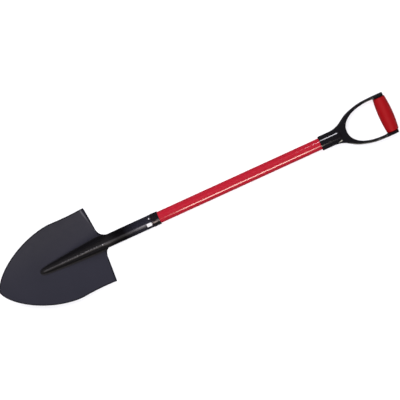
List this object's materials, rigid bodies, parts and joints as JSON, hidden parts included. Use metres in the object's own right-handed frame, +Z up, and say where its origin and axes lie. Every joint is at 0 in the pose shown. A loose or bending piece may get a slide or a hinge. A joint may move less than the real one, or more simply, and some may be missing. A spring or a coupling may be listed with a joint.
{
  "type": "round point shovel",
  "caption": "Round point digging shovel with a pressed steel blade and socket, a straight fibreglass shaft and a D-shaped hand grip.",
  "frame": {"origin": "on the ground under the middle of the shovel's bounding box, with the shovel lying on its back", "axes": "+X along the shaft from the blade to the hand grip, +Z up out of the blade's hollow face, +Y to the left looking along +X"},
  "size_m": [1.1793, 0.2232, 0.0828],
  "materials": {
    "blade_steel": "satin charcoal powder coat on steel",
    "collar": "satin black",
    "shaft": "glossy red fibreglass",
    "core": "plain",
    "rivet": "bright zinc plated",
    "label": "blank white film",
    "grip_plastic": "black moulded plastic",
    "hand_grip": "matte red",
    "screw": "zinc plated"
  },
  "bodies": {
    "root": {"blade": "blade_steel", "collar": "collar", "shaft_tube": "shaft", "lower_core": "core", "upper_core": "core", "socket_rivet": "rivet", "rivet_burr": "rivet", "label": "label", "grip_frame": "grip_plastic", "hand_grip": "hand_grip", "grip_screw": "screw"}
  },
  "joints": []
}
